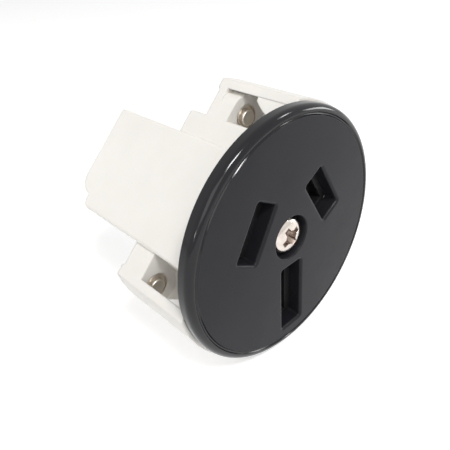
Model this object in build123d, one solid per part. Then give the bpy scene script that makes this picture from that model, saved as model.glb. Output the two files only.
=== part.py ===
from build123d import *
import math
import os
from dataclasses import dataclass

# A round panel mount socket outlet. A black face plate lies in front of the
# panel, a white body behind it, and one screw on the axis pulls them together.
#
# Every piece is drawn with the face up: x to the right, y up the face, z out of
# the face, and z = 0 on the back of the face plate. The body's own block stands
# cornerwise, turned by body_turn. The last step stands the whole part up, so
# that its face looks along -Y with the earth slot at the bottom.

# Face plate, with a bead rim outside its groove
face_d = 37.9
face_t = 2.3
face_edge_r = 1.0
face_back_edge = 0.3
bead_steps = 2
groove_w = 0.5
groove_depth = 0.25
pocket_corner_r = 0.35
pocket_mouth = 0.25

# Pins that the socket takes: where they stand and how large they are
live_pin_r = 7.92
earth_pin_r = 10.31
live_pin_w = 6.35
earth_pin_w = 9.08
pin_t = 1.6

# Pockets in the face and slots in the guide behind it
live_pocket_l = 8.5
live_pocket_w = 3.8
earth_pocket_l = 10.9
earth_pocket_w = 4.1
slot_side_gap = 0.2
guide_t = 2.5

# Clamp screw on the axis, its seat in the face and its insert in the body
screw_d = 3.0
screw_l = 12.0
screw_head_d = 5.6
screw_head_t = 1.2
screw_head_edge = 0.35
screw_sink = 0.5
counterbore_d = 6.6
recess_w = 0.7
recess_l = 3.1
recess_depth = 0.8
insert_d = 4.2
insert_l = 6.0
screw_gap = 0.15
thread_gap = 0.03
screw_runout = 1.0

# Body block, cornerwise behind the face
body_turn = 45.0
block_q = 11.0
block_low_p = 10.95
block_high_p = 6.5
block_l = 31.5
block_end_r = 2.8
block_edge_r = 0.6
rear_step_p = 8.7
rear_step_h = 2.9
rear_step_r = 1.6
shoulder_p = 10.4
shoulder_q = 10.2
shoulder_l = 17.4
earth_lobe_w = 6.4
earth_lobe_wall = 1.55

# Flange, its two skirts, and the four lugs with their blind inserts
flange_front = 12.6
flange_t = 1.5
skirt_overhang = 0.35
skirt_t = 1.2
skirt_lip = 0.45
skirt_root = 0.4
ear_half_w = 10.2
lug_high_p = 12.6
lug_low_p = 15.2
lug_q = 6.7
lug_t = 2.8
lug_insert_d = 4.0
lug_bore_d = 2.5
lug_bore_l = 3.8
lug_nose_d = 2.8
lug_nose_l = 0.5

# Screws that hold the guide to the block
guide_screw_x = 11.7
guide_screw_d = 2.0
guide_screw_l = 7.0
guide_screw_head_d = 3.6
guide_screw_head_t = 1.0
guide_screw_slot_w = 0.5
guide_screw_slot_depth = 0.5

# Contacts: a folded fork, riveted to a square terminal block
leaf_t = 0.6
leaf_gap = 1.5
live_leaf_w = 5.0
earth_leaf_w = 8.4
leaf_mouth = 0.4
leaf_end_gap = 0.4
plate_t = 0.8
plate_level = 15.2
plate_p = 7.2
plate_q = 5.6
strap_w = 4.0
cavity_gap = 0.2

# Terminals behind the contacts, and where they stand in the block
active_terminal_p = -2.0
active_terminal_q = 6.4
neutral_terminal_p = 2.5
neutral_terminal_q = -6.4
earth_terminal_p = -6.4
earth_terminal_q = -6.1
terminal_side = 5.8
terminal_l = 6.0
terminal_edge_r = 0.4
washer_side = 5.6
washer_t = 0.8
washer_lip = 0.7
terminal_screw_d = 3.0
terminal_screw_l = 6.8
terminal_head_d = 4.6
terminal_head_t = 2.0
terminal_slot_w = 0.8
terminal_slot_depth = 1.0

TOP = (Align.CENTER, Align.CENTER, Align.MIN)
DOWN = (Align.CENTER, Align.CENTER, Align.MAX)
turn_body = Rot(0, 0, body_turn)
stand_up = Rot(90, 0, 0)
plate_back = plate_level + plate_t
earth_lobe_reach = earth_pin_r + earth_pin_w / 2 + slot_side_gap + earth_lobe_wall
rear_step_l = block_l - rear_step_h
terminal_back = plate_back + terminal_l
flange_back = flange_front + flange_t
lug_front = flange_front - lug_t
lug_r = ear_half_w - lug_q
face_r = face_d / 2
skirt_r = face_r + skirt_overhang
screw_seat = face_t - screw_sink - screw_head_t


@dataclass(frozen=True)
class Pin:
    """One pin of the plug, with the place of its terminal in the turned block."""

    name: str
    angle: float
    radius: float
    long_side: float
    pin_w: float
    pocket_l: float
    pocket_w: float
    leaf_w: float
    terminal_p: float
    terminal_q: float

    def place(self):
        """Location of the pin, with x along its wide side."""
        return Rot(0, 0, self.angle) * Pos(self.radius, 0, 0) * Rot(0, 0, self.long_side)

    def terminal(self):
        """Location of the pin's terminal."""
        return turn_body * Pos(self.terminal_p, self.terminal_q, 0)


PINS = [
    Pin("active", 150, live_pin_r, 90, live_pin_w, live_pocket_l, live_pocket_w, live_leaf_w,
        active_terminal_p, active_terminal_q),
    Pin("neutral", 30, live_pin_r, 90, live_pin_w, live_pocket_l, live_pocket_w, live_leaf_w,
        neutral_terminal_p, neutral_terminal_q),
    Pin("earth", 270, earth_pin_r, 0, earth_pin_w, earth_pocket_l, earth_pocket_w, earth_leaf_w,
        earth_terminal_p, earth_terminal_q),
]


def column(shape, low, high):
    """The sketch drawn out between two levels."""
    return extrude(Pos(0, 0, low) * shape, high - low)


def span(p_low, p_high, q_half):
    """A rectangle with soft corners in the block's own directions."""
    return Pos((p_low + p_high) / 2, 0) * RectangleRounded(p_high - p_low, 2 * q_half, block_edge_r)


def earth_lobe():
    """Section of the bulge that holds the earth contact."""
    return Pos(0, -earth_lobe_reach / 2) * Rectangle(earth_lobe_w, earth_lobe_reach)


def block_outline():
    """Section of the body's block and of the guide that caps it."""
    square = span(-block_low_p, block_high_p, block_q) + span(-shoulder_p, shoulder_p, shoulder_q)
    return turn_body * square + earth_lobe()


def face_profile():
    """Half section of the face plate: flat centre, V groove and bead rim."""
    rim_foot = face_r - face_edge_r
    turns = [math.pi / 2 * step / bead_steps for step in range(bead_steps + 1)]
    bead = [
        (rim_foot + face_edge_r * math.sin(turn), face_t - face_edge_r * (1 - math.cos(turn))) for turn in turns
    ]
    groove = [(rim_foot - groove_w, face_t), (rim_foot - groove_w / 2, face_t - groove_depth)]
    back = [(face_r, face_back_edge), (face_r - face_back_edge, 0), (0, 0), (0, face_t)]
    return Polygon(*groove, *bead, *back, align=None)


def face_plate():
    """The round face with its bead rim, three pockets and the screw's seat."""
    plate = revolve(Plane.XZ * face_profile(), Axis.Z)
    for pin in PINS:
        pocket = RectangleRounded(pin.pocket_l, pin.pocket_w, pocket_corner_r)
        plate -= pin.place() * column(pocket, 0, face_t)
    flat = plate.faces().sort_by(Axis.Z)[-1]
    plate = chamfer([edge for mouth in flat.inner_wires() for edge in mouth.edges()], pocket_mouth)
    plate -= Pos(0, 0, screw_seat) * Cylinder(counterbore_d / 2, face_t, align=TOP)
    plate -= Cylinder(screw_d / 2 + screw_gap, face_t, align=TOP)
    return plate


def clamp_screw():
    """Pan head screw with a cross recess."""
    head = Pos(0, 0, screw_seat) * Cylinder(screw_head_d / 2, screw_head_t, align=TOP)
    head = chamfer(head.edges().group_by(Axis.Z)[-1], screw_head_edge)
    cross = Rectangle(recess_l, recess_w) + Rectangle(recess_w, recess_l)
    top = screw_seat + screw_head_t
    head -= column(cross, top - recess_depth, top)
    return head + Pos(0, 0, screw_seat) * Cylinder(screw_d / 2, screw_l, align=DOWN)


def clamp_insert():
    """Threaded insert in the body that the clamp screw runs into."""
    ring = Circle(insert_d / 2) - Circle(screw_d / 2 + thread_gap)
    return column(ring, -guide_t - insert_l, -guide_t)


def pin_guide():
    """Black cap on the block, with a close slot for each pin."""
    guide = column(block_outline(), -guide_t, 0)
    guide -= Cylinder(screw_d / 2 + screw_gap, guide_t, align=DOWN)
    for pin in PINS:
        slot = Rectangle(pin.pin_w + 2 * slot_side_gap, pin_t + 2 * slot_side_gap)
        guide -= pin.place() * column(slot, -guide_t, 0)
    for side in (-1, 1):
        seat = Pos(side * guide_screw_x, 0, 0)
        guide -= seat * Cylinder(guide_screw_d / 2 + screw_gap, guide_t, align=DOWN)
        guide -= seat * guide_screw_cone(screw_gap)
    return guide


def guide_screw_cone(gap):
    """The countersunk head, or its seat with a gap all round."""
    return Cone(guide_screw_d / 2 + gap, guide_screw_head_d / 2 + gap, guide_screw_head_t, align=DOWN)


def guide_screw(side):
    """Countersunk screw through the guide into the block."""
    screw = Cylinder(guide_screw_d / 2, guide_screw_l, align=DOWN) + guide_screw_cone(0)
    screw -= Box(guide_screw_head_d, guide_screw_slot_w, guide_screw_slot_depth, align=DOWN)
    return Pos(side * guide_screw_x, 0, 0) * screw


def plate_outline(pin, gap):
    """Outline of a contact's foot, from the fork across to the terminal."""
    fork = pin.place() * Rectangle(pin.leaf_w + 2 * gap, leaf_gap + 2 * leaf_t + 2 * gap)
    pad = pin.terminal() * Rectangle(plate_p + 2 * gap, plate_q + 2 * gap)
    start = pin.place().position
    end = pin.terminal().position
    strap_turn = (end - start).get_signed_angle(Vector(1, 0, 0), Vector(0, 0, -1))
    middle = (start + end) / 2
    strap = Rectangle((end - start).length, strap_w + 2 * gap)
    return fork + pad + Pos(middle.X, middle.Y) * Rot(0, 0, strap_turn) * strap


def contact(pin):
    """Folded contact: two leaves that grip the pin, on a flat foot."""
    foot = column(plate_outline(pin, 0), -plate_back, -plate_level)
    top = guide_t + leaf_end_gap
    leaf_h = plate_level - top
    mouth = leaf_gap / 2 + leaf_mouth
    leaf = Polygon(
        (leaf_gap / 2, -plate_level), (leaf_gap / 2, -top - 2 * leaf_mouth), (mouth, -top),
        (leaf_gap / 2 + leaf_t, -top), (leaf_gap / 2 + leaf_t, -plate_level), align=None,
    )
    leaf = extrude(Plane.YZ * leaf, pin.leaf_w / 2, both=True)
    piece = foot + pin.place() * leaf + pin.place() * Rot(0, 0, 180) * leaf
    bore = Cylinder(terminal_screw_d / 2 + thread_gap, leaf_h, align=DOWN)
    return piece - pin.terminal() * Pos(0, 0, -plate_level) * bore


def terminal_block(pin):
    """Square brass block behind the contact's foot, threaded for its screw."""
    side = RectangleRounded(terminal_side, terminal_side, terminal_edge_r)
    side -= Circle(terminal_screw_d / 2 + thread_gap)
    return pin.terminal() * column(side, -terminal_back, -plate_back)


def wire_clamp(pin):
    """Square clamping washer with two turned sides that keep the wire in."""
    washer = column(Rectangle(washer_side, washer_side), -terminal_back - washer_t, -terminal_back)
    lip = Box(washer_side, washer_t / 2, washer_t + washer_lip, align=DOWN)
    for side in (-1, 1):
        edge = side * (washer_side - washer_t / 2) / 2
        washer += Pos(0, edge, -terminal_back) * lip
    washer -= Pos(0, 0, -terminal_back) * Cylinder(terminal_screw_d / 2 + screw_gap, washer_t, align=DOWN)
    return pin.terminal() * washer


def terminal_screw(pin):
    """Slotted cheese head screw that presses the clamp on the block."""
    seat = terminal_back + washer_t
    end = seat + terminal_head_t
    screw = Pos(0, 0, -end) * Cylinder(terminal_head_d / 2, terminal_head_t, align=TOP)
    screw -= Pos(0, 0, -end) * Box(terminal_head_d, terminal_slot_w, terminal_slot_depth, align=TOP)
    screw += Pos(0, 0, -seat) * Cylinder(terminal_screw_d / 2, terminal_screw_l, align=TOP)
    return pin.terminal() * screw


def lug_places():
    """The four lugs, in the block's own directions."""
    return [Pos(p, q, 0) for p in (lug_high_p, -lug_low_p) for q in (lug_q, -lug_q)]


def lug_insert(place):
    """Blind threaded insert through one lug, open to the rear, with a small nose in front."""
    insert = column(Circle(lug_insert_d / 2), -flange_back, -lug_front)
    insert += column(Circle(lug_nose_d / 2), -lug_front, lug_nose_l - lug_front)
    insert -= column(Circle(lug_bore_d / 2), -flange_back, lug_bore_l - flange_back)
    return turn_body * place * insert


def ear_infill():
    """Section of the solid middle of the ears, scooped out round the lugs' front faces."""
    middle = Rectangle(2 * skirt_r, 2 * lug_q) & Circle(skirt_r - skirt_t / 2)
    for place in lug_places():
        middle -= place * Circle(lug_r)
    return middle


def ears():
    """Flange, skirts, lugs and the infill between them, cut to two ears by the flats of the body."""
    inner_r = skirt_r - skirt_t
    lip_back = flange_back + skirt_lip
    profile = Polygon(
        (0, -flange_back), (inner_r - skirt_root, -flange_back), (inner_r, -lip_back), (skirt_r, -lip_back),
        (skirt_r, 0), (inner_r, 0), (inner_r, -flange_front), (0, -flange_front), align=None,
    )
    ring = revolve(Plane.XZ * profile, Axis.Z)
    for place in lug_places():
        pad = place * Circle(lug_r) + Pos(place.position.X / 2, place.position.Y) * Rectangle(
            abs(place.position.X), 2 * lug_r
        )
        ring += column(pad & Circle(skirt_r), -flange_front, -lug_front)
    ring += column(ear_infill(), -flange_front, -guide_t)
    return ring & Box(2 * skirt_r, 2 * ear_half_w, 2 * lip_back)


def rear_block():
    """The block behind the face, with a step and well rounded corners at one rear edge."""
    profile = Polygon(
        (-block_low_p, -guide_t), (-block_low_p, -rear_step_l), (-rear_step_p, -rear_step_l),
        (-rear_step_p, -block_l), (block_high_p, -block_l), (block_high_p, -guide_t), align=None,
    )
    for corner, radius in (((-block_low_p, -rear_step_l), rear_step_r), ((-rear_step_p, -block_l), block_end_r)):
        profile = fillet(profile.vertices().sort_by_distance(corner)[0], radius)
    side = extrude(Plane.XZ * profile, block_q, both=True)
    return column(span(-block_low_p, block_high_p, block_q), -block_l, -guide_t) & side


def body_shell():
    """White body: the block, the shoulder round the contacts, and the ears."""
    shoulder = column(span(-shoulder_p, shoulder_p, shoulder_q), -shoulder_l, -guide_t)
    body = turn_body * (rear_block() + shoulder + ears())
    body += column(block_outline(), -flange_back, -guide_t)
    body += column(earth_lobe(), -shoulder_l, -guide_t)
    for pin in PINS:
        body -= column(plate_outline(pin, cavity_gap), -plate_back, -guide_t)
        well = Rectangle(terminal_side + 2 * cavity_gap, terminal_side + 2 * cavity_gap)
        body -= pin.terminal() * column(well, -block_l, -plate_back)
    body -= column(Circle(insert_d / 2), -guide_t - insert_l, -guide_t)
    body -= Pos(0, 0, screw_seat) * Cylinder(screw_d / 2 + screw_gap, screw_l + screw_runout, align=DOWN)
    for side in (-1, 1):
        pilot = Cylinder(guide_screw_d / 2 + thread_gap, guide_screw_l + screw_runout, align=DOWN)
        body -= Pos(side * guide_screw_x, 0, 0) * pilot
    for place in lug_places():
        body -= turn_body * place * column(Circle(lug_insert_d / 2), -flange_back, lug_nose_l - lug_front)
    return body


def pieces():
    """Every piece of the socket under its node name."""
    named = {
        "face_plate": face_plate(),
        "clamp_screw": clamp_screw(),
        "clamp_insert": clamp_insert(),
        "pin_guide": pin_guide(),
        "guide_screw_left": guide_screw(-1),
        "guide_screw_right": guide_screw(1),
        "body_shell": body_shell(),
    }
    for pin in PINS:
        named[pin.name + "_contact"] = contact(pin)
        named[pin.name + "_terminal"] = terminal_block(pin)
        named[pin.name + "_wire_clamp"] = wire_clamp(pin)
        named[pin.name + "_terminal_screw"] = terminal_screw(pin)
    for number, place in enumerate(lug_places(), 1):
        named[f"lug_insert_{number}"] = lug_insert(place)
    return named


os.makedirs("parts", exist_ok=True)
for name, piece in pieces().items():
    export_step(stand_up * piece, f"parts/{name}.step")
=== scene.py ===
"""Dresses the panel mount socket: face, screw, inserts, cheeks and finishes, with its stage and camera."""

import logging
import math
from dataclasses import dataclass
from enum import Enum

import bmesh
import bpy
from mathutils import Matrix, Vector


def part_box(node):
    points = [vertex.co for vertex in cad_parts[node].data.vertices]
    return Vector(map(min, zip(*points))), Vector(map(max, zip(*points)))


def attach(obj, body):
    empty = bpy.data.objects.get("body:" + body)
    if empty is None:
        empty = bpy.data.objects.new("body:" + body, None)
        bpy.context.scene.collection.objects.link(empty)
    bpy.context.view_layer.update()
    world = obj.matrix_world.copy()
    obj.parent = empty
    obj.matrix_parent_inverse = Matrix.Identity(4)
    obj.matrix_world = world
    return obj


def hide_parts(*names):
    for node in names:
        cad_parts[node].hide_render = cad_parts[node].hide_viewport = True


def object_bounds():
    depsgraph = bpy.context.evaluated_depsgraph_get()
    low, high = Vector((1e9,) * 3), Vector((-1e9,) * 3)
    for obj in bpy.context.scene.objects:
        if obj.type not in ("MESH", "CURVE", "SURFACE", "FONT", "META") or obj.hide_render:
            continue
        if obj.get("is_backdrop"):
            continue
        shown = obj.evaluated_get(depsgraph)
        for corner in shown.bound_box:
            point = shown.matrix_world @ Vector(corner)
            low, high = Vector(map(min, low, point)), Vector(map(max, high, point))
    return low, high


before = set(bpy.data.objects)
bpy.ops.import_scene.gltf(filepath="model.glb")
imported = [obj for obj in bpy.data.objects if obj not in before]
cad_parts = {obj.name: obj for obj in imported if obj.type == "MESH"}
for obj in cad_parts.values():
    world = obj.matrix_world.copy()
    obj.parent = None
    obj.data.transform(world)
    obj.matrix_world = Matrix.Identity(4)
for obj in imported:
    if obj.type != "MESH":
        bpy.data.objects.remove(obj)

MM = 0.001
SHARP_DEG = 32.0
FLAT_AREA = 3.0 * MM**2
SQUARE_ON = 0.9999
TINY = 0.0002 * MM
QUARTER = math.pi / 2
DIAGONAL = math.sqrt(0.5)
NEAR_AXIS = 0.02
EDGE_SAMPLES = 6
MIX_AMOUNT, MIX_FIRST, MIX_SECOND, MIX_RESULT = 0, 6, 7, 2
NOISE_LOW, NOISE_HIGH = 0.3, 0.7
log = logging.getLogger("socket")

Colour = tuple[float, float, float]
Place = tuple[float, float, float]
Point = tuple[float, float]


class Pocket(Enum):
    """The three pin pockets: angle and radius of their centre, turn of their long side, length and width."""

    ACTIVE = (150.0, 7.92, 240.0, 8.5, 3.8)
    NEUTRAL = (30.0, 7.92, 120.0, 8.5, 3.8)
    EARTH = (270.0, 10.31, 270.0, 10.9, 4.1)


class Ear(Enum):
    """The two ears: side of the axis, level at which a window's edge leaves the skirt, and that edge.

    The edge is a row of (distance from the axis, z) points in millimetres, from the skirt inwards.
    """

    UPPER = (1, -6.7, ((14.3, -6.4), (13.5, -5.25), (12.95, -4.3), (12.3, -2.8), (12.0, -1.2)))
    LOWER = (-1, -4.1, ((15.0, -3.9), (14.4, -2.8), (13.9, -1.8), (13.7, -1.0)))


class Flat(Enum):
    """The two flats of each ear, by their side of the body."""

    LEFT = 1
    RIGHT = -1


class Grain(Enum):
    """How a moulded surface was left by its tool: size and depth of its grain in millimetres."""

    POLISHED = (0.60, 0.0004)
    SATIN = (0.30, 0.0006)
    PLAIN = (0.35, 0.0010)


def stand(x: float, y: float, z: float) -> Vector:
    """Turns a point of the face-up drawing, in millimetres, into the part's own frame.

    Args:
        x: To the right across the face.
        y: Up the face.
        z: Out of the face, from the back of the face plate.

    Returns:
        The point in metres, with the face looking along -Y.
    """
    return Vector((x, -z, y)) * MM


def quarter_turn(steps: int) -> list[float]:
    """Lists the angles, in radians, that part a quarter of a turn into even steps."""
    return [QUARTER * i / steps for i in range(steps + 1)]


def shade(mesh: bpy.types.Mesh) -> None:
    """Shades a mesh smooth up to SHARP_DEG, but its large facets and those square to the axis flat.

    Args:
        mesh: The mesh, which already has its faces.
    """
    mesh.set_sharp_from_angle(angle=math.radians(SHARP_DEG))
    flags = [face.area < FLAT_AREA and abs(face.normal.y) < SQUARE_ON for face in mesh.polygons]
    mesh.polygons.foreach_set("use_smooth", flags)


def finish_mesh(name: str, bm: bmesh.types.BMesh) -> bpy.types.Object:
    """Turns a bmesh into a linked object.

    Args:
        name: Name of the object.
        bm: The mesh under construction, which is freed.

    Returns:
        The new object, at the origin.
    """
    bmesh.ops.recalc_face_normals(bm, faces=bm.faces)
    mesh = bpy.data.meshes.new(name)
    bm.to_mesh(mesh)
    bm.free()
    shade(mesh)
    piece = bpy.data.objects.new(name, mesh)
    bpy.context.scene.collection.objects.link(piece)
    return piece


def ring_stack(bm: bmesh.types.BMesh, rings: list[list[Vector]]) -> None:
    """Joins rings of points into a skin, with a lid at each end.

    Args:
        bm: The mesh that takes the faces.
        rings: Rings of equally many points, from one end to the other.
    """
    rows = [[bm.verts.new(point) for point in ring] for ring in rings]
    count = len(rows[0])
    for low, high in zip(rows, rows[1:]):
        for i in range(count):
            j = (i + 1) % count
            bm.faces.new((low[i], low[j], high[j], high[i]))
    bm.faces.new(rows[0][::-1])
    bm.faces.new(rows[-1])


def turned(name: str, profile: list[Point], steps: int, centre: Point = (0.0, 0.0)) -> bpy.types.Object:
    """Makes a turned piece round an axis that stands out of the face.

    Args:
        name: Name of the object.
        profile: (radius, z) points in millimetres, from one end to the other.
        steps: Facets round the axis.
        centre: Where the axis crosses the face-up drawing.

    Returns:
        The closed turned piece.
    """
    bm = bmesh.new()
    angles = [2 * math.pi * i / steps for i in range(steps)]
    rings = []
    for r, z in profile:
        rings.append([stand(centre[0] + r * math.cos(a), centre[1] + r * math.sin(a), z) for a in angles])
    ring_stack(bm, rings)
    return finish_mesh(name, bm)


def rounded_box(length: float, width: float, corner: float, steps: int = 6) -> list[Point]:
    """Outline of a rectangle with round corners.

    Args:
        length: Size along x in millimetres.
        width: Size along y.
        corner: Radius of its corners.
        steps: Segments of each corner.

    Returns:
        The outline's points, anticlockwise.
    """
    points = []
    for quarter, (sx, sy) in enumerate(((1, 1), (-1, 1), (-1, -1), (1, -1))):
        cx, cy = sx * (length / 2 - corner), sy * (width / 2 - corner)
        for i in range(steps + 1):
            a = QUARTER * (quarter + i / steps)
            points.append((cx + corner * math.cos(a), cy + corner * math.sin(a)))
    return points


def carve(target: bpy.types.Object, cutters: list[bpy.types.Object]) -> None:
    """Cuts pieces out of a target for good and removes the cutters.

    Args:
        target: The piece that is cut.
        cutters: Closed pieces that are taken away from it.
    """
    for cutter in cutters:
        cut = target.modifiers.new("cut", "BOOLEAN")
        cut.operation = "DIFFERENCE"
        cut.solver = "EXACT"
        cut.object = cutter
    bpy.context.view_layer.update()
    solid = target.evaluated_get(bpy.context.evaluated_depsgraph_get())
    mesh = bpy.data.meshes.new_from_object(solid)
    target.modifiers.clear()
    old = target.data
    target.data = mesh
    bpy.data.meshes.remove(old)
    for cutter in cutters:
        bpy.data.objects.remove(cutter)
    bm = bmesh.new()
    bm.from_mesh(mesh)
    bmesh.ops.dissolve_degenerate(bm, dist=TINY, edges=bm.edges)
    bm.to_mesh(mesh)
    bm.free()
    shade(mesh)


class NodeBench:
    """A material's node tree with the few moves that the finishes share."""

    def __init__(self, name: str) -> None:
        """Starts a material with an empty surface shader."""
        self.material = bpy.data.materials.new(name)
        self.material.use_nodes = True
        self.tree = self.material.node_tree
        self.shader = self.tree.nodes["Principled BSDF"]
        self.place = self.tree.nodes.new("ShaderNodeTexCoord").outputs["Object"]

    def noise(self, size_mm: float, detail: float = 3.0, rough: float = 0.5) -> bpy.types.NodeSocket:
        """Adds a noise of a given size.

        Args:
            size_mm: Rough size of its spots in millimetres.
            detail: Octaves of finer spots.
            rough: Weight of the finer spots.

        Returns:
            The noise's grey output.
        """
        node = self.tree.nodes.new("ShaderNodeTexNoise")
        node.inputs["Scale"].default_value = 1 / (size_mm * MM)
        node.inputs["Detail"].default_value = detail
        node.inputs["Roughness"].default_value = rough
        self.tree.links.new(self.place, node.inputs["Vector"])
        return node.outputs["Fac"]

    def spread(self, source: bpy.types.NodeSocket, low: float, high: float) -> bpy.types.NodeSocket:
        """Maps the middle of a grey value to a range.

        Args:
            source: The grey value, mostly from NOISE_LOW to NOISE_HIGH.
            low: Result at the low end.
            high: Result at the high end.

        Returns:
            The mapped value.
        """
        node = self.tree.nodes.new("ShaderNodeMapRange")
        node.inputs["From Min"].default_value = NOISE_LOW
        node.inputs["From Max"].default_value = NOISE_HIGH
        node.inputs["To Min"].default_value = low
        node.inputs["To Max"].default_value = high
        self.tree.links.new(source, node.inputs["Value"])
        return node.outputs["Result"]

    def blend(self, amount: bpy.types.NodeSocket, first: Colour, second: Colour) -> bpy.types.NodeSocket:
        """Blends two colours by a grey value.

        Args:
            amount: 0 for the first colour, 1 for the second.
            first: Linear colour.
            second: Linear colour.

        Returns:
            The blended colour.
        """
        node = self.tree.nodes.new("ShaderNodeMix")
        node.data_type = "RGBA"
        node.inputs[MIX_FIRST].default_value = (*first, 1.0)
        node.inputs[MIX_SECOND].default_value = (*second, 1.0)
        self.tree.links.new(amount, node.inputs[MIX_AMOUNT])
        return node.outputs[MIX_RESULT]

    def surface(self, height: bpy.types.NodeSocket, depth_mm: float, edge_mm: float) -> None:
        """Bumps the surface and softens the edges of its shape.

        Args:
            height: Grey height of the bump.
            depth_mm: Depth of the bump in millimetres.
            edge_mm: Radius of the softened edges.
        """
        edge = self.tree.nodes.new("ShaderNodeBevel")
        edge.samples = EDGE_SAMPLES
        edge.inputs["Radius"].default_value = edge_mm * MM
        bump = self.tree.nodes.new("ShaderNodeBump")
        bump.inputs["Distance"].default_value = depth_mm * MM
        self.tree.links.new(height, bump.inputs["Height"])
        self.tree.links.new(edge.outputs["Normal"], bump.inputs["Normal"])
        self.tree.links.new(bump.outputs["Normal"], self.shader.inputs["Normal"])

    def join(self, source: bpy.types.NodeSocket, socket: str) -> None:
        """Feeds a value to one of the surface shader's sockets."""
        self.tree.links.new(source, self.shader.inputs[socket])

    def fix(self, **sockets: float | Colour) -> None:
        """Sets plain values on the surface shader, by socket name with _ for a space."""
        for name, value in sockets.items():
            self.shader.inputs[name.replace("_", " ")].default_value = value


@dataclass(frozen=True)
class MouldedPlastic:
    """Moulded plastic: a base colour that drifts a little, with the tool's grain."""

    name: str
    colour: Colour
    drifted: Colour
    roughness: tuple[float, float]
    grain: Grain
    edge_mm: float
    ior: float
    glow: float = 0.0
    glow_reach: Colour = (1.0, 0.8, 0.6)
    glow_mm: float = 0.8
    drift_mm: float = 7.0
    patch_mm: float = 1.7

    def material(self) -> bpy.types.Material:
        """Builds the material.

        Returns:
            The material, with all its nodes.
        """
        bench = NodeBench(self.name)
        drift = bench.noise(self.drift_mm, 4.0, 0.55)
        bench.join(bench.blend(bench.spread(drift, 0.0, 1.0), self.colour, self.drifted), "Base Color")
        bench.join(bench.spread(bench.noise(self.patch_mm), *self.roughness), "Roughness")
        size, depth = self.grain.value
        bench.surface(bench.noise(size, 2.0), depth, self.edge_mm)
        bench.fix(IOR=self.ior, Subsurface_Weight=self.glow)
        if self.glow:
            bench.fix(Subsurface_Radius=self.glow_reach, Subsurface_Scale=self.glow_mm * MM)
        return bench.material


@dataclass(frozen=True)
class PlatedMetal:
    """Bare or plated metal with fine rubbing and a few duller spots."""

    name: str
    colour: Colour
    dulled: Colour
    roughness: tuple[float, float]
    rub_mm: float
    edge_mm: float
    rub_depth_mm: float = 0.0012
    spot_mm: float = 1.2
    patch_mm: float = 0.5

    def material(self) -> bpy.types.Material:
        """Builds the material.

        Returns:
            The material, with all its nodes.
        """
        bench = NodeBench(self.name)
        dull = bench.spread(bench.noise(self.spot_mm, 5.0, 0.6), 0.0, 1.0)
        bench.join(bench.blend(dull, self.colour, self.dulled), "Base Color")
        bench.join(bench.spread(bench.noise(self.patch_mm, 4.0), *self.roughness), "Roughness")
        bench.surface(bench.noise(self.rub_mm, 2.0), self.rub_depth_mm, self.edge_mm)
        bench.fix(Metallic=1.0)
        return bench.material


@dataclass(frozen=True)
class Finishes:
    """Every finish on the socket, made once."""

    face: bpy.types.Material
    rim: bpy.types.Material
    cap: bpy.types.Material
    body: bpy.types.Material
    nickel: bpy.types.Material
    thin_nickel: bpy.types.Material
    matt_nickel: bpy.types.Material
    brass: bpy.types.Material
    zinc: bpy.types.Material

    @classmethod
    def mixed(cls) -> "Finishes":
        """Mixes the socket's nine finishes.

        Returns:
            The finishes, each as one material.
        """
        return cls(
            face=MouldedPlastic(
                name="face_black",
                colour=(0.012, 0.012, 0.015),
                drifted=(0.016, 0.016, 0.019),
                roughness=(0.28, 0.36),
                grain=Grain.SATIN,
                edge_mm=0.10,
                ior=1.25,
            ).material(),
            rim=MouldedPlastic(
                name="rim_black",
                colour=(0.002, 0.002, 0.004),
                drifted=(0.003, 0.003, 0.005),
                roughness=(0.08, 0.12),
                grain=Grain.POLISHED,
                edge_mm=0.10,
                ior=1.43,
            ).material(),
            cap=MouldedPlastic(
                name="guide_black",
                colour=(0.006, 0.006, 0.007),
                drifted=(0.009, 0.009, 0.010),
                roughness=(0.42, 0.52),
                grain=Grain.PLAIN,
                edge_mm=0.10,
                ior=1.40,
            ).material(),
            body=MouldedPlastic(
                name="body_white",
                colour=(0.86, 0.835, 0.79),
                drifted=(0.83, 0.805, 0.76),
                roughness=(0.36, 0.46),
                grain=Grain.PLAIN,
                edge_mm=0.30,
                ior=1.45,
                glow=0.10,
            ).material(),
            nickel=PlatedMetal(
                name="nickel",
                colour=(0.78, 0.71, 0.65),
                dulled=(0.62, 0.56, 0.51),
                roughness=(0.14, 0.24),
                rub_mm=0.25,
                edge_mm=0.06,
            ).material(),
            # A darker, browner nickel: painted shade for the inside of the screw's cross recess.
            thin_nickel=PlatedMetal(
                name="nickel_painted_shade",
                colour=(0.34, 0.27, 0.23),
                dulled=(0.22, 0.17, 0.14),
                roughness=(0.22, 0.34),
                rub_mm=0.25,
                edge_mm=0.04,
            ).material(),
            matt_nickel=PlatedMetal(
                name="nickel_matt",
                colour=(0.90, 0.85, 0.78),
                dulled=(0.80, 0.74, 0.66),
                roughness=(0.38, 0.48),
                rub_mm=0.25,
                edge_mm=0.06,
            ).material(),
            brass=PlatedMetal(
                name="brass",
                colour=(0.78, 0.56, 0.27),
                dulled=(0.62, 0.42, 0.19),
                roughness=(0.24, 0.36),
                rub_mm=0.30,
                edge_mm=0.08,
            ).material(),
            zinc=PlatedMetal(
                name="steel",
                colour=(0.66, 0.66, 0.65),
                dulled=(0.52, 0.52, 0.51),
                roughness=(0.26, 0.38),
                rub_mm=0.30,
                edge_mm=0.08,
            ).material(),
        )


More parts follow.
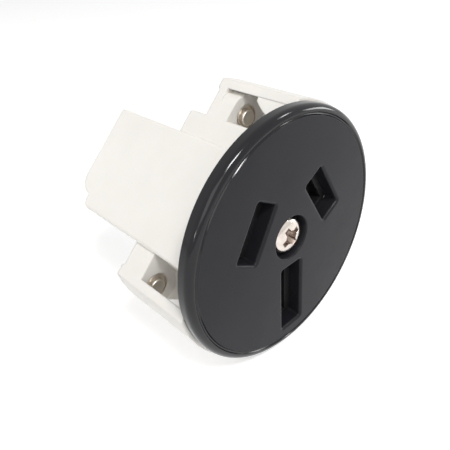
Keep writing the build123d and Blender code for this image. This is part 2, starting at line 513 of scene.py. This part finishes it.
@dataclass
class FacePlate:
    """The round black face: bead rim, groove, three pockets and the screw's seat."""

    finishes: Finishes
    radius: float = 18.95
    thickness: float = 2.3
    bead: float = 1.0
    groove_w: float = 0.5
    groove_depth: float = 0.25
    groove_steps: tuple[float, ...] = (0.12, 0.25, 0.4, 0.5, 0.6, 0.75, 0.88, 1.0)
    back_edge: float = 0.3
    pocket_corner: float = 0.35
    mouth: float = 0.45
    seat_radius: float = 3.3
    seat_level: float = 0.6
    seat_lip: float = 0.2
    passage_radius: float = 1.65
    core_radius: float = 0.5
    cut_from: float = -0.5
    cut_past: float = 0.4
    steps: int = 288
    seat_steps: int = 96

    def profile(self) -> list[Point]:
        """Lists the plate's half section.

        Returns:
            (radius, z) points from the middle of its back to the middle of its front.
        """
        foot = self.radius - self.bead
        bead = [
            (foot + self.bead * math.cos(a), self.thickness - self.bead * (1 - math.sin(a)))
            for a in quarter_turn(12)
        ]
        groove = [
            (foot - self.groove_w * t, self.thickness - self.groove_depth * math.sin(math.pi * t))
            for t in self.groove_steps
        ]
        back = [(self.core_radius, 0.0), (self.radius - self.back_edge, 0.0), (self.radius, self.back_edge)]
        return back + bead + groove + [(self.core_radius, self.thickness)]

    def pocket_cutter(self, pocket: Pocket) -> bpy.types.Object:
        """Makes the cutter of one pocket, which flares in a small round lip at its mouth.

        Args:
            pocket: Which pocket.

        Returns:
            The closed cutter.
        """
        angle, radius, turn, length, width = pocket.value
        centre = (radius * math.cos(math.radians(angle)), radius * math.sin(math.radians(angle)))
        levels = [(self.cut_from, 0.0)]
        for a in quarter_turn(4):
            levels.append((self.thickness - self.mouth * (1 - math.sin(a)), self.mouth * (1 - math.cos(a))))
        levels.append((self.thickness + self.cut_past, self.mouth))
        c, s = math.cos(math.radians(turn)), math.sin(math.radians(turn))
        rings = []
        for z, grow in levels:
            outline = rounded_box(length + 2 * grow, width + 2 * grow, self.pocket_corner + grow)
            rings.append([stand(centre[0] + c * x - s * y, centre[1] + s * x + c * y, z) for x, y in outline])
        bm = bmesh.new()
        ring_stack(bm, rings)
        return finish_mesh("cut_" + pocket.name.lower(), bm)

    def seat_cutter(self) -> bpy.types.Object:
        """Makes the cutter of the clamp screw's seat and passage.

        Returns:
            The closed cutter.
        """
        section = [
            (self.passage_radius, self.cut_from),
            (self.passage_radius, self.seat_level),
            (self.seat_radius, self.seat_level),
        ]
        for a in (0.0, 0.4, 0.8, 1.2, QUARTER):
            reach = self.seat_radius + self.seat_lip * (1 - math.cos(a))
            section.append((reach, self.thickness - self.seat_lip * (1 - math.sin(a))))
        section.append((self.seat_radius + self.seat_lip, self.thickness + self.cut_past))
        return turned("cut_seat", section, self.seat_steps)

    def build(self) -> bpy.types.Object:
        """Makes the face plate and seats it in place of its node.

        Returns:
            The face plate.
        """
        plate = turned("face_dressed", self.profile(), self.steps)
        carve(plate, [self.pocket_cutter(pocket) for pocket in Pocket] + [self.seat_cutter()])
        plate.data.materials.append(self.finishes.face)
        plate.data.materials.append(self.finishes.rim)
        rim_start = (self.radius - self.bead - self.groove_w) * MM
        for polygon in plate.data.polygons:
            x, _, z = polygon.center
            polygon.material_index = int(math.hypot(x, z) > rim_start and polygon.area < MM**2)
        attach(plate, "root")
        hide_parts("face_plate")
        return plate


@dataclass
class ClampScrew:
    """The bright pan head screw on the axis, with its cross recess and thread."""

    finishes: Finishes
    head_radius: float = 2.8
    head_height: float = 1.65
    side: float = 0.45
    seat: float = 0.6
    shank_radius: float = 1.5
    shank_length: float = 12.0
    tip_edge: float = 0.45
    plain_length: float = 1.5
    lead_in: float = 0.3
    pitch: float = 0.5
    thread_depth: float = 0.26
    relief: float = 0.6
    collar: float = 0.2
    recess_reach: float = 1.7
    recess_width: float = 1.1
    recess_depth: float = 1.2
    recess_lip: float = 0.3
    recess_fillet: float = 0.12
    recess_flare: float = 0.03
    recess_turn: float = 0.5
    recess_taper: tuple[tuple[float, float, float], ...] = ((0.8, 0.62, 0.72), (1.0, 0.34, 0.52))
    arm_tip: float = 0.8
    arm_root: float = 1.35
    steps: int = 96
    skin: float = 0.05
    crown_fall: float = 0.72
    crown_rise: float = 0.9

    def profile(self) -> list[Point]:
        """Lists the screw's half section.

        Returns:
            (radius, z) points from its tip to the crown of its head.
        """
        tip = self.seat - self.shank_length
        core = self.shank_radius - self.thread_depth
        points = [(NEAR_AXIS, tip), (self.shank_radius - self.tip_edge, tip)]
        for i in range(int((self.shank_length - self.plain_length) / self.pitch)):
            level = tip + self.lead_in + i * self.pitch
            points += [(core, level), (self.shank_radius, level + self.pitch * 0.5)]
        points += [(core, self.seat - self.relief), (self.shank_radius, self.seat - self.collar)]
        points += [(self.shank_radius, self.seat), (self.head_radius, self.seat)]
        for a in quarter_turn(14):
            radius = max(self.head_radius * math.cos(a) ** self.crown_fall, NEAR_AXIS)
            points.append((radius, self.crown(radius)))
        return points

    def crown(self, radius: float) -> float:
        """Finds the level of the head's domed crown at a radius, in millimetres."""
        slope = math.acos(min((radius / self.head_radius) ** (1 / self.crown_fall), 1.0))
        return self.seat + self.side + (self.head_height - self.side) * math.sin(slope) ** self.crown_rise

    def in_recess(self, point: Vector) -> bool:
        """Tells whether a point of the screw, in millimetres, is on the recess's walls or foot, which are
        painted darker as shade.
        """
        radius, level = math.hypot(point.x, point.z), -point.y
        return radius < self.recess_reach and self.seat + self.skin < level < self.crown(radius) - self.skin

    def recess_cutter(self) -> bpy.types.Object:
        """Makes the cross shaped cutter, which narrows towards its foot by the shares in recess_taper.

        Returns:
            The closed cutter.
        """
        top, fillet = self.seat + self.head_height, self.recess_fillet
        reach, half = self.recess_reach, self.recess_width / 2
        levels = [(top + self.recess_lip, reach + fillet, half + self.recess_flare)]
        levels.append((top - fillet, reach, half))
        for down, along, across in self.recess_taper:
            levels.append((top - self.recess_depth * down, reach * along, half * across))
        rings = []
        for z, tip, side in levels:
            root, end = side * self.arm_root, side * self.arm_tip
            arm = [(tip, -end), (tip, end), (root + fillet, side), (root, root), (side, root + fillet)]
            ring = []
            for quarter in range(4):
                turn = QUARTER * quarter + self.recess_turn
                c, s = math.cos(turn), math.sin(turn)
                ring += [stand(c * x - s * y, s * x + c * y, z) for x, y in arm]
            rings.append(ring)
        bm = bmesh.new()
        ring_stack(bm, rings)
        return finish_mesh("cut_recess", bm)

    def build(self) -> bpy.types.Object:
        """Makes the screw and seats it in place of its node.

        Returns:
            The screw.
        """
        screw = turned("clamp_screw_dressed", self.profile(), self.steps)
        carve(screw, [self.recess_cutter()])
        screw.data.materials.append(self.finishes.nickel)
        screw.data.materials.append(self.finishes.thin_nickel)
        # The recess's walls and foot take the darker nickel, which paints the shade in the recess.
        for polygon in screw.data.polygons:
            polygon.material_index = int(self.in_recess(polygon.center / MM))
        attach(screw, "root")
        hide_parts("clamp_screw")
        return screw


@dataclass
class LugInserts:
    """The four blind threaded inserts in the body's lugs."""

    finishes: Finishes
    radius: float = 2.0
    back: float = -14.1
    front: float = -9.8
    sunk: float = 0.45
    nose: float = 0.5
    nose_radius: float = 1.25
    nose_edge: float = 0.25
    lining: float = 0.12
    back_edge: float = 0.1
    bore_radius: float = 1.25
    bore_length: float = 3.8
    thread_depth: float = 0.2
    countersink: float = 0.35
    pitch: float = 0.5
    steps: int = 72

    def profile(self) -> list[Point]:
        """Lists the half section of one insert.

        Returns:
            (radius, z) points from the bottom of its threaded bore round to its nose.
        """
        bottom = self.back + self.bore_length
        groove = self.bore_radius + self.thread_depth
        points = [(NEAR_AXIS, bottom)]
        for i in range(int(self.bore_length / self.pitch) - 1):
            level = bottom - self.thread_depth - i * self.pitch
            points += [(self.bore_radius, level), (groove, level - self.pitch / 2)]
        points += [(self.bore_radius, self.back + self.countersink), (groove, self.back)]
        points += [(self.radius - self.back_edge, self.back), (self.radius, self.back + self.back_edge)]
        ledge, inner = self.front - self.sunk, self.radius - self.lining
        points += [(self.radius, self.front), (inner, self.front), (inner, ledge), (self.nose_radius, ledge)]
        top = self.front + self.nose
        for a in quarter_turn(6):
            reach = self.nose_radius - self.nose_edge * (1 - math.cos(a))
            points.append((reach, top - self.nose_edge * (1 - math.sin(a))))
        return points + [(NEAR_AXIS, top)]

    def build(self) -> list[bpy.types.Object]:
        """Makes the inserts and seats each in place of its node.

        Returns:
            The four inserts.
        """
        made = []
        for number in range(1, 5):
            node = f"lug_insert_{number}"
            low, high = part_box(node)
            centre = ((low[0] + high[0]) / 2 / MM, (low[2] + high[2]) / 2 / MM)
            insert = turned(node + "_dressed", self.profile(), self.steps, centre)
            insert.data.materials.append(self.finishes.matt_nickel)
            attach(insert, "root")
            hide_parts(node)
            made.append(insert)
        return made


@dataclass
class EarCheeks:
    """The thin walls in front of the lugs, flush with the ears' flats, that leave a window at each lug."""

    finishes: Finishes
    outer: float = 10.18
    inner: float = 9.0
    skirt_radius: float = 18.3
    front: float = -0.1

    def cheek(self, ear: Ear, flat: Flat) -> bpy.types.Object:
        """Makes one cheek.

        Args:
            ear: Which ear it is on.
            flat: Which of the ear's flats it is flush with.

        Returns:
            The closed cheek.
        """
        end, skirt_level, edge = ear.value
        rings = []
        for depth in (self.inner, self.outer):
            skirt = math.sqrt(self.skirt_radius**2 - depth**2)
            outline = [(skirt, self.front), (skirt, skirt_level), *edge, (edge[-1][0], self.front)]
            q = flat.value * depth
            rings.append([stand(DIAGONAL * (end * p - q), DIAGONAL * (end * p + q), z) for p, z in outline])
        bm = bmesh.new()
        ring_stack(bm, rings)
        return finish_mesh(f"{ear.name.lower()}_{flat.name.lower()}_cheek", bm)

    def build(self) -> list[bpy.types.Object]:
        """Makes the four cheeks.

        Returns:
            The cheeks, those of the upper ear first.
        """
        made = []
        for ear in Ear:
            for flat in Flat:
                cheek = self.cheek(ear, flat)
                cheek.data.materials.append(self.finishes.body)
                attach(cheek, "root")
                made.append(cheek)
        return made


@dataclass
class MouldedParts:
    """The pieces whose own solids already have the right form, which take a finish and soft edges."""

    finishes: Finishes
    edge: float = 0.12
    edge_steps: int = 2
    corner_deg: float = 40.0

    def wear(self, node: str, material: bpy.types.Material) -> None:
        """Gives one node its finish.

        Args:
            node: Name of the node.
            material: The finish.
        """
        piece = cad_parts[node]
        for slot in piece.material_slots:
            slot.material = material
        soften = piece.modifiers.new("soft_edges", "BEVEL")
        soften.width = self.edge * MM
        soften.segments = self.edge_steps
        soften.limit_method = "ANGLE"
        soften.angle_limit = math.radians(self.corner_deg)
        soften.harden_normals = True

    def dress(self) -> list[str]:
        """Dresses the body, the guide and all that lies in the body.

        Returns:
            The names of the dressed nodes.
        """
        worn = {
            "body_shell": self.finishes.body,
            "pin_guide": self.finishes.cap,
            "clamp_insert": self.finishes.brass,
            "guide_screw_left": self.finishes.zinc,
            "guide_screw_right": self.finishes.zinc,
        }
        for pin in ("active", "neutral", "earth"):
            worn[pin + "_contact"] = self.finishes.brass
            worn[pin + "_terminal"] = self.finishes.brass
            worn[pin + "_wire_clamp"] = self.finishes.zinc
            worn[pin + "_terminal_screw"] = self.finishes.nickel
        for node, material in worn.items():
            self.wear(node, material)
        return sorted(worn)


@dataclass(frozen=True)
class Lamp:
    """A soft square-cornered lamp that looks at the part's middle, in metres and watts."""

    name: str
    place: Place
    power: float
    size: Point

    def hang(self) -> None:
        """Hangs the lamp in the scene."""
        data = bpy.data.lights.new(self.name, "AREA")
        data.energy = self.power
        data.shape = "RECTANGLE"
        data.size, data.size_y = self.size
        lamp = bpy.data.objects.new(self.name, data)
        lamp.location = self.place
        lamp.rotation_mode = "QUATERNION"
        lamp.rotation_quaternion = (-Vector(self.place)).to_track_quat("-Z", "Y")
        bpy.context.scene.collection.objects.link(lamp)


@dataclass
class Studio:
    """The pale floor, the soft lamps and the camera at the photograph's angle."""

    floor_level: float
    floor_reach: float = 1.5
    floor_squares: int = 8
    floor_colour: Colour = (0.80, 0.80, 0.80)
    floor_lift: float = 0.45
    sky: float = 0.49
    eye: Place = (-46.959, -41.041, 42.723)
    right: Place = (0.73585, -0.67348, -0.07035)
    up: Place = (0.3649, 0.30687, 0.87902)
    lens: float = 41.774
    sensor: float = 36.0
    shift: Point = (0.03378, -0.10774)
    lamps: tuple[Lamp, ...] = (
        Lamp("window", (-0.08, -0.19, 0.31), 0.70, (0.10, 0.06)),
        Lamp("door", (0.23, -0.17, 0.235), 0.14, (0.05, 0.05)),
        Lamp("front", (-0.26, -0.24, 0.22), 0.28, (0.25, 0.25)),
        Lamp("left", (-0.36, -0.14, 0.08), 0.06, (0.03, 0.03)),
        Lamp("rear", (-0.14, 0.34, 0.12), 0.10, (0.05, 0.05)),
        Lamp("right", (0.36, -0.18, 0.05), 0.26, (0.14, 0.08)),
    )

    def seen(self, tree: bpy.types.NodeTree) -> bpy.types.NodeSocket:
        """Adds a value that is 1 for what the camera sees, itself or in a mirror or through glass.

        Args:
            tree: The node tree that takes it.

        Returns:
            The value's socket.
        """
        rays = tree.nodes.new("ShaderNodeLightPath")
        total = rays.outputs["Is Camera Ray"]
        for name in ("Is Glossy Ray", "Is Transmission Ray"):
            larger = tree.nodes.new("ShaderNodeMath")
            larger.operation = "MAXIMUM"
            tree.links.new(total, larger.inputs[0])
            tree.links.new(rays.outputs[name], larger.inputs[1])
            total = larger.outputs[0]
        return total

    def lay_floor(self) -> None:
        """Lays the pale floor, which looks white where no shadow falls on it."""
        bm = bmesh.new()
        bmesh.ops.create_grid(
            bm, x_segments=self.floor_squares, y_segments=self.floor_squares, size=self.floor_reach
        )
        bmesh.ops.translate(bm, verts=bm.verts, vec=(0, 0, self.floor_level))
        floor = finish_mesh("floor", bm)
        material = bpy.data.materials.new("floor_paper")
        material.use_nodes = True
        tree = material.node_tree
        tree.nodes.remove(tree.nodes["Principled BSDF"])
        paper = tree.nodes.new("ShaderNodeBsdfDiffuse")
        paper.inputs["Color"].default_value = (*self.floor_colour, 1.0)
        lift = tree.nodes.new("ShaderNodeEmission")
        strength = tree.nodes.new("ShaderNodeMath")
        strength.operation = "MULTIPLY"
        strength.inputs[1].default_value = self.floor_lift
        both = tree.nodes.new("ShaderNodeAddShader")
        tree.links.new(self.seen(tree), strength.inputs[0])
        tree.links.new(strength.outputs[0], lift.inputs["Strength"])
        tree.links.new(paper.outputs[0], both.inputs[0])
        tree.links.new(lift.outputs[0], both.inputs[1])
        tree.links.new(both.outputs[0], tree.nodes["Material Output"].inputs["Surface"])
        floor.data.materials.append(material)
        floor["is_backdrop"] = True

    def fill_sky(self) -> None:
        """Sets the soft light from all round, which looks white where it is seen."""
        world = bpy.data.worlds.new("sky")
        bpy.context.scene.world = world
        world.use_nodes = True
        tree = world.node_tree
        strength = tree.nodes.new("ShaderNodeMapRange")
        strength.inputs["To Min"].default_value = self.sky
        strength.inputs["To Max"].default_value = 1.0
        tree.links.new(self.seen(tree), strength.inputs["Value"])
        tree.nodes["Background"].inputs["Color"].default_value = (1.0, 1.0, 1.0, 1.0)
        tree.links.new(strength.outputs["Result"], tree.nodes["Background"].inputs["Strength"])

    def stand_camera(self) -> None:
        """Stands the camera where the photograph was taken from."""
        data = bpy.data.cameras.new("camera")
        data.lens = self.lens
        data.sensor_width = self.sensor
        data.shift_x, data.shift_y = self.shift
        data.clip_start = MM
        camera = bpy.data.objects.new("camera", data)
        back = Vector(self.right).cross(Vector(self.up))
        turn = Matrix((self.right, self.up, back)).transposed()
        camera.matrix_world = Matrix.Translation(Vector(self.eye) * MM) @ turn.to_4x4()
        bpy.context.scene.collection.objects.link(camera)
        bpy.context.scene.camera = camera

    def set_up(self) -> None:
        """Lays, hangs and stands everything."""
        self.lay_floor()
        self.fill_sky()
        for lamp in self.lamps:
            lamp.hang()
        self.stand_camera()
        bpy.context.scene.view_settings.view_transform = "Standard"


def box_numbers() -> list[list[float]]:
    """Reads the shown object's lowest and highest corner as plain numbers."""
    low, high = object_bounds()
    return [list(low), list(high)]


def main() -> None:
    """Builds each sub-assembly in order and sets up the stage."""
    logging.basicConfig(level=logging.INFO, format="%(name)s: %(message)s")
    solid_box = box_numbers()
    finishes = Finishes.mixed()
    log.info("face: %s", FacePlate(finishes).build().name)
    log.info("screw: %s", ClampScrew(finishes).build().name)
    for insert in LugInserts(finishes).build():
        log.info("insert: %s", insert.name)
    for cheek in EarCheeks(finishes).build():
        log.info("cheek: %s", cheek.name)
    for node in MouldedParts(finishes).dress():
        log.info("dressed: %s", node)
    Studio(floor_level=solid_box[0][2]).set_up()
    log.info("stage set up")


if __name__ == "__main__":
    main()
